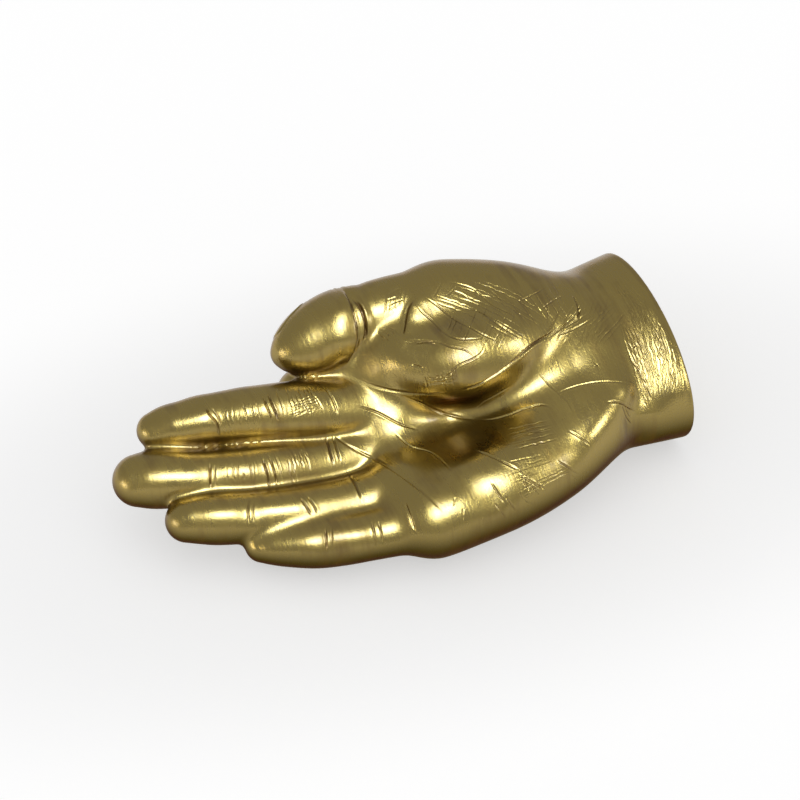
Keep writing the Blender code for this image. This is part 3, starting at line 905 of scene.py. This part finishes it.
def shelter(points, normals):
    """How far the hand shades each point itself, from 0 in the open to 1 in a deep fold."""
    shade = np.zeros(len(points))
    for reach in SHELTER_REACHES:
        away = skin_distance(points + normals * reach)
        shade += 1 - np.clip(away / reach, 0, 1)
    return shade / len(SHELTER_REACHES)


def painted_low_shade(points, normals):
    """How far each point lies low and is turned down to the table, from 0 to 1 over the table: the mask of the
    painted shade low on the sides.
    """
    return 1 - eased((points[:, 2] + normals[:, 2] * TABLE_TURN) / TABLE_REACH)


def store(mesh, name, values):
    attribute = mesh.attributes.new(name, "FLOAT", "POINT")
    attribute.data.foreach_set("value", values.astype(np.float32))


def lathed(name, rings, centre, axes):
    """A closed solid of oval rings, each its place on the first axis and its half sizes on the others."""
    shape = bmesh.new()
    ahead, across, up = axes
    angles = np.linspace(0, 2 * math.pi, OVAL_SIDES, endpoint=False)
    loops = []
    for along, half_width, half_thickness in rings:
        places = (
            np.array(centre)
            + along * ahead
            + np.outer(half_width * np.cos(angles), across)
            + np.outer(half_thickness * np.sin(angles), up)
        )
        loops.append([shape.verts.new(place) for place in places])
    for low, high in zip(loops, loops[1:]):
        for number in range(OVAL_SIDES):
            after = (number + 1) % OVAL_SIDES
            shape.faces.new((low[number], low[after], high[after], high[number]))
    shape.faces.new(loops[0][::-1])
    shape.faces.new(loops[-1])
    return finished(shape, name)


def seat_cutter():
    """What the plate's seat takes out of the wrist, its mouth chamfered."""
    half_width = WRIST_WIDTH / 2 - RIM_WIDTH
    half_thickness = WRIST_THICKNESS / 2 - RIM_WIDTH
    rings = [(-seat_depth, half_width, half_thickness), (-RIM_CHAMFER, half_width, half_thickness)]
    flare = 2 * RIM_CHAMFER
    rings.append((RIM_CHAMFER, half_width + flare, half_thickness + flare))
    axes = (forearm_axis, width_axis, thickness_axis)
    return placed("seat_cutter", lathed("seat_cutter", rings, wrist_end, axes))


def make_hand():
    cutter = seat_cutter()
    mesh = through_modifier(
        creased_skin(), "BOOLEAN", operation="DIFFERENCE", solver="MANIFOLD", object=cutter
    )
    bpy.data.objects.remove(cutter)
    mesh.shade_smooth()
    mesh.set_sharp_from_angle(angle=math.radians(40))
    hand = placed("hand_casting", mesh)
    hand.data.materials.clear()
    hand.data.materials.append(gold_lacquer())
    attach(hand, "root")
    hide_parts("hand_shell")


def finish_plate():
    plate = bpy.data.objects["wrist_plate"]
    plate.data.materials.clear()
    plate.data.materials.append(bpy.data.materials["gold_lacquer"])


def pad_rings():
    """The felt disc's profile, from the table up, with both edges worn round."""
    radius, height = PAD_WIDTH / 2, PAD_THICKNESS
    worn = height / 4
    rings = [(0, share * (radius - worn)) for share in (0.05, 0.35, 0.7, 0.9, 1.0)]
    for angle in np.radians((30, 60, 90)):
        rings.append((worn * (1 - math.cos(angle)), radius - worn * (1 - math.sin(angle))))
    for angle in np.radians((0, 30, 60, 90)):
        rings.append((height - worn * (1 - math.sin(angle)), radius - worn * (1 - math.cos(angle))))
    rings += [(height, share * (radius - worn)) for share in (0.9, 0.7, 0.35, 0.05)]
    return [(along, size, size) for along, size in rings]


def make_pads():
    """Four felt discs under the feet, their rims a little frayed."""
    random = np.random.default_rng(8)
    material = felt()
    upward_axes = np.roll(np.eye(3), 1, axis=0)
    for name, share in FOOT_SHARES.items():
        x, y = np.array(share) * hand_size[:2]
        pad = placed("felt_" + name, lathed("felt_" + name, pad_rings(), (x, y, 0), upward_axes))
        points = read_points(pad.data)
        inward = np.array([x, y, 0]) - points
        inward[:, 2] = 0
        write_points(pad.data, points + inward * random.uniform(0, 0.02, (len(points), 1)))
        pad.data.shade_smooth()
        pad.data.materials.append(material)
        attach(pad, "root")
        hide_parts("pad_" + name)


def shader_group(name, inputs, outputs):
    """A node group with named sockets; each input comes with its default."""
    tree = bpy.data.node_groups.new(name, "ShaderNodeTree")
    for label, value in inputs.items():
        kind = "NodeSocketColor" if isinstance(value, tuple) else "NodeSocketFloat"
        socket = tree.interface.new_socket(label, in_out="INPUT", socket_type=kind)
        socket.default_value = value
    for label, kind in outputs.items():
        tree.interface.new_socket(label, in_out="OUTPUT", socket_type=kind)
    given = tree.nodes.new("NodeGroupInput").outputs
    wanted = tree.nodes.new("NodeGroupOutput").inputs
    return tree, given, wanted


def join(tree, value, socket):
    """Links a node's output to a socket, or sets the socket to a plain value."""
    if isinstance(value, bpy.types.NodeSocket):
        tree.links.new(value, socket)
    else:
        socket.default_value = value


def maths(tree, operation, *values):
    made = tree.nodes.new("ShaderNodeMath")
    made.operation = operation
    for number, value in enumerate(values):
        join(tree, value, made.inputs[number])
    return made.outputs[0]


def mixed(tree, share, first, second):
    """A colour part of the way from the first to the second."""
    made = tree.nodes.new("ShaderNodeMix")
    made.data_type = "RGBA"
    join(tree, share, made.inputs["Factor"])
    join(tree, first, made.inputs[6])
    join(tree, second, made.inputs[7])
    return made.outputs[2]


def noise(tree, place, scale, detail, roughness):
    made = tree.nodes.new("ShaderNodeTexNoise")
    join(tree, place, made.inputs["Vector"])
    made.inputs["Scale"].default_value = scale
    made.inputs["Detail"].default_value = detail
    made.inputs["Roughness"].default_value = roughness
    return made.outputs["Fac"]


def object_place(tree):
    return tree.nodes.new("ShaderNodeTexCoord").outputs["Object"]


def attribute(tree, name):
    made = tree.nodes.new("ShaderNodeAttribute")
    made.attribute_name = name
    return made.outputs["Fac"]


def placed_group(tree, group, **values):
    made = tree.nodes.new("ShaderNodeGroup")
    made.node_tree = group
    for label, value in values.items():
        join(tree, value, made.inputs[label])
    return made.outputs


def skin_grain_group():
    """Pores, fine crossing lines and brush marks that run round the wrist and fingers, as one height."""
    tree, given, wanted = shader_group(
        "skin_grain", {"Pores": 0.35, "Brush": 1.8}, {"Height": "NodeSocketFloat"}
    )
    place = object_place(tree)
    cells = tree.nodes.new("ShaderNodeTexVoronoi")
    cells.feature = "DISTANCE_TO_EDGE"
    tree.links.new(place, cells.inputs["Vector"])
    cells.inputs["Scale"].default_value = 700.0
    lines = maths(tree, "MINIMUM", cells.outputs["Distance"], 0.12)
    total = maths(tree, "MULTIPLY", lines, 2.5)
    total = maths(tree, "MULTIPLY_ADD", noise(tree, place, 1500.0, 3.0, 0.6), given["Pores"], total)
    total = maths(tree, "MULTIPLY_ADD", noise(tree, place, 330.0, 2.0, 0.5), 0.8, total)
    brushed = noise(tree, brushed_place(tree), 900.0, 3.0, 0.65)
    total = maths(tree, "MULTIPLY_ADD", brushed, given["Brush"], total)
    tree.links.new(total, wanted["Height"])
    return tree


def brushed_place(tree):
    """Places drawn out across the wrist's direction, so that a texture there runs in strokes."""
    made = tree.nodes.new("ShaderNodeMapping")
    made.vector_type = "TEXTURE"
    tree.links.new(object_place(tree), made.inputs["Vector"])
    made.inputs["Rotation"].default_value = wrist_turn.to_euler()
    made.inputs["Scale"].default_value = (1, BRUSH_STRETCH, BRUSH_STRETCH)
    return made.outputs["Vector"]


def mottle_and_painted_shade_group():
    """The lacquer's colour: cloudy at random in the open, with painted shade in folds and creases and painted
    shade low on the sides.
    """
    colours = {"Open": GOLD, "MottleAndFoldShade": GOLD_MOTTLE_AND_FOLD_SHADE, "PaintedLowShade": GOLD_PAINTED_LOW_SHADE}
    masks = {"Groove": 0.0, "Shelter": 0.0, "Under": 0.0}
    tree, given, wanted = shader_group(
        "mottle_and_painted_shade", {**colours, **masks}, {"Color": "NodeSocketColor", "Cloud": "NodeSocketFloat"}
    )
    place = object_place(tree)
    strokes = noise(tree, brushed_place(tree), 260.0, 3.0, 0.6)
    cloud = maths(tree, "SUBTRACT", maths(tree, "ADD", noise(tree, place, 42.0, 5.0, 0.6), strokes), 1.0)
    # Painted shade: the colour turns brown where the hand shades itself and in deep creases, on top of random
    # mottling.
    shade = maths(tree, "MULTIPLY", given["Shelter"], 0.4)
    deep = maths(tree, "MAXIMUM", shade, maths(tree, "MULTIPLY", given["Groove"], 0.9))
    deep = maths(tree, "MULTIPLY_ADD", cloud, 2.0, deep)
    # Painted shade: darker colour low on the sides, where they turn down to the table.
    colour = mixed(tree, given["Under"], given["Open"], given["PaintedLowShade"])
    tree.links.new(mixed(tree, deep, colour, given["MottleAndFoldShade"]), wanted["Color"])
    tree.links.new(cloud, wanted["Cloud"])
    return tree


def new_material(name, plain_values):
    """A material with its shader's plain values set, and its node tree and its shader's inputs."""
    made = bpy.data.materials.new(name)
    made.use_nodes = True
    inputs = made.node_tree.nodes["Principled BSDF"].inputs
    for label, value in plain_values.items():
        inputs[label].default_value = value
    return made, made.node_tree, inputs


def bumped(tree, height, strength, depth, socket):
    """Turns a height into a bump, its depth in millimetres."""
    bump = tree.nodes.new("ShaderNodeBump")
    bump.inputs["Strength"].default_value = strength
    bump.inputs["Distance"].default_value = depth * MM
    tree.links.new(height, bump.inputs["Height"])
    tree.links.new(bump.outputs["Normal"], socket)


def gold_lacquer():
    plain_values = {"Metallic": 1.0, "Specular Tint": GOLD_EDGE, "Coat Roughness": 0.24}
    made, tree, inputs = new_material("gold_lacquer", plain_values)
    sheltered, under, groove = (attribute(tree, name) for name in ("shelter", "painted_low_shade", "groove"))
    mottle_and_painted_shade = placed_group(tree, mottle_and_painted_shade_group(), Groove=groove, Shelter=sheltered, Under=under)
    tree.links.new(mottle_and_painted_shade["Color"], inputs["Base Color"])
    rough = maths(tree, "MULTIPLY_ADD", mottle_and_painted_shade["Cloud"], 0.35, 0.30)
    rough = maths(tree, "MULTIPLY_ADD", sheltered, 0.1, rough)
    tree.links.new(rough, inputs["Roughness"])
    # The painted shade low on the sides also thins the coat there, dimming its reflections.
    tree.links.new(maths(tree, "MULTIPLY_ADD", under, -0.9, 1.0), inputs["Coat Weight"])
    bumped(tree, placed_group(tree, skin_grain_group())["Height"], 0.6, GRAIN_HEIGHT, inputs["Normal"])
    return made


def felt():
    """Pressed dark fibres with a dusty bloom."""
    made, tree, inputs = new_material("felt", {"Roughness": 0.95, "Sheen Weight": 0.3})
    place = object_place(tree)
    fibres = noise(tree, place, 2600.0, 5.0, 0.8)
    bloom = maths(tree, "MULTIPLY", fibres, noise(tree, place, 500.0, 3.0, 0.6))
    tree.links.new(mixed(tree, bloom, FELT, FELT_PALE), inputs["Base Color"])
    bumped(tree, fibres, 0.8, FIBRE_HEIGHT, inputs["Normal"])
    return made


def make_floor():
    shape = bmesh.new()
    bmesh.ops.create_grid(shape, x_segments=1, y_segments=1, size=3)
    floor = placed("floor", finished(shape, "floor"))
    floor.data.materials.append(pale_floor())


def pale_floor():
    """A white table that glows enough to the eye and in reflections to stay white round its shadows."""
    plain_values = {
        "Base Color": (FLOOR_TONE, FLOOR_TONE, FLOOR_TONE, 1),
        "Roughness": 0.9,
        "Specular IOR Level": 0.2,
        "Emission Color": (1, 1, 1, 1),
    }
    made, tree, inputs = new_material("pale_floor", plain_values)
    path = tree.nodes.new("ShaderNodeLightPath").outputs
    seen = maths(tree, "MAXIMUM", path["Is Camera Ray"], path["Is Glossy Ray"])
    seen = maths(tree, "MAXIMUM", seen, path["Is Transmission Ray"])
    tree.links.new(maths(tree, "MULTIPLY", seen, floor_glow(tree)), inputs["Emission Strength"])
    return made


def floor_glow(tree):
    """Less close to the hand, in an oval as long as it is, and more farther off, which paints a faint shade on
    the floor round the hand.
    """
    oval = tree.nodes.new("ShaderNodeVectorMath")
    oval.operation = "MULTIPLY"
    join(tree, object_place(tree), oval.inputs[0])
    oval.inputs[1].default_value = (HAND_BREADTH / HAND_LENGTH, 1, 0)
    away = tree.nodes.new("ShaderNodeVectorMath")
    away.operation = "LENGTH"
    join(tree, oval.outputs["Vector"], away.inputs[0])
    made = tree.nodes.new("ShaderNodeMapRange")
    made.interpolation_type = "SMOOTHSTEP"
    join(tree, away.outputs["Value"], made.inputs["Value"])
    made.inputs["From Min"].default_value, made.inputs["From Max"].default_value = FLOOR_REACHES
    made.inputs["To Min"].default_value, made.inputs["To Max"].default_value = FLOOR_GLOWS
    return made.outputs["Result"]


def make_lamps():
    """Soft boxes, each of a given radiance, that light the hand and leave the floor to the sky."""
    lit = bpy.data.collections.new("lit_by_lamps")
    for name in ("hand_casting", "wrist_plate"):
        lit.objects.link(bpy.data.objects[name])
    for name, (target, angles, distance, size, radiance, spread, tint) in LAMPS.items():
        light = bpy.data.lights.new(name, "AREA")
        light.shape = "RECTANGLE"
        light.size, light.size_y = size
        light.color = tint
        light.spread = math.radians(spread)
        light.energy = radiance * math.pi * size[0] * size[1]
        lamp = placed(name, light)
        way = way_from(*angles)
        lamp.location = Vector(target) + distance * way
        lamp.rotation_euler = way.to_track_quat("Z", "Y").to_euler()
        lamp.light_linking.receiver_collection = lit


def make_world():
    world = bpy.data.worlds.new("studio")
    bpy.context.scene.world = world
    world.use_nodes = True
    background = world.node_tree.nodes["Background"]
    background.inputs["Color"].default_value = (SKY, SKY, SKY, 1)


make_hand()
finish_plate()
make_pads()
make_floor()
make_world()
make_lamps()
bpy.context.scene.view_settings.view_transform = "Standard"
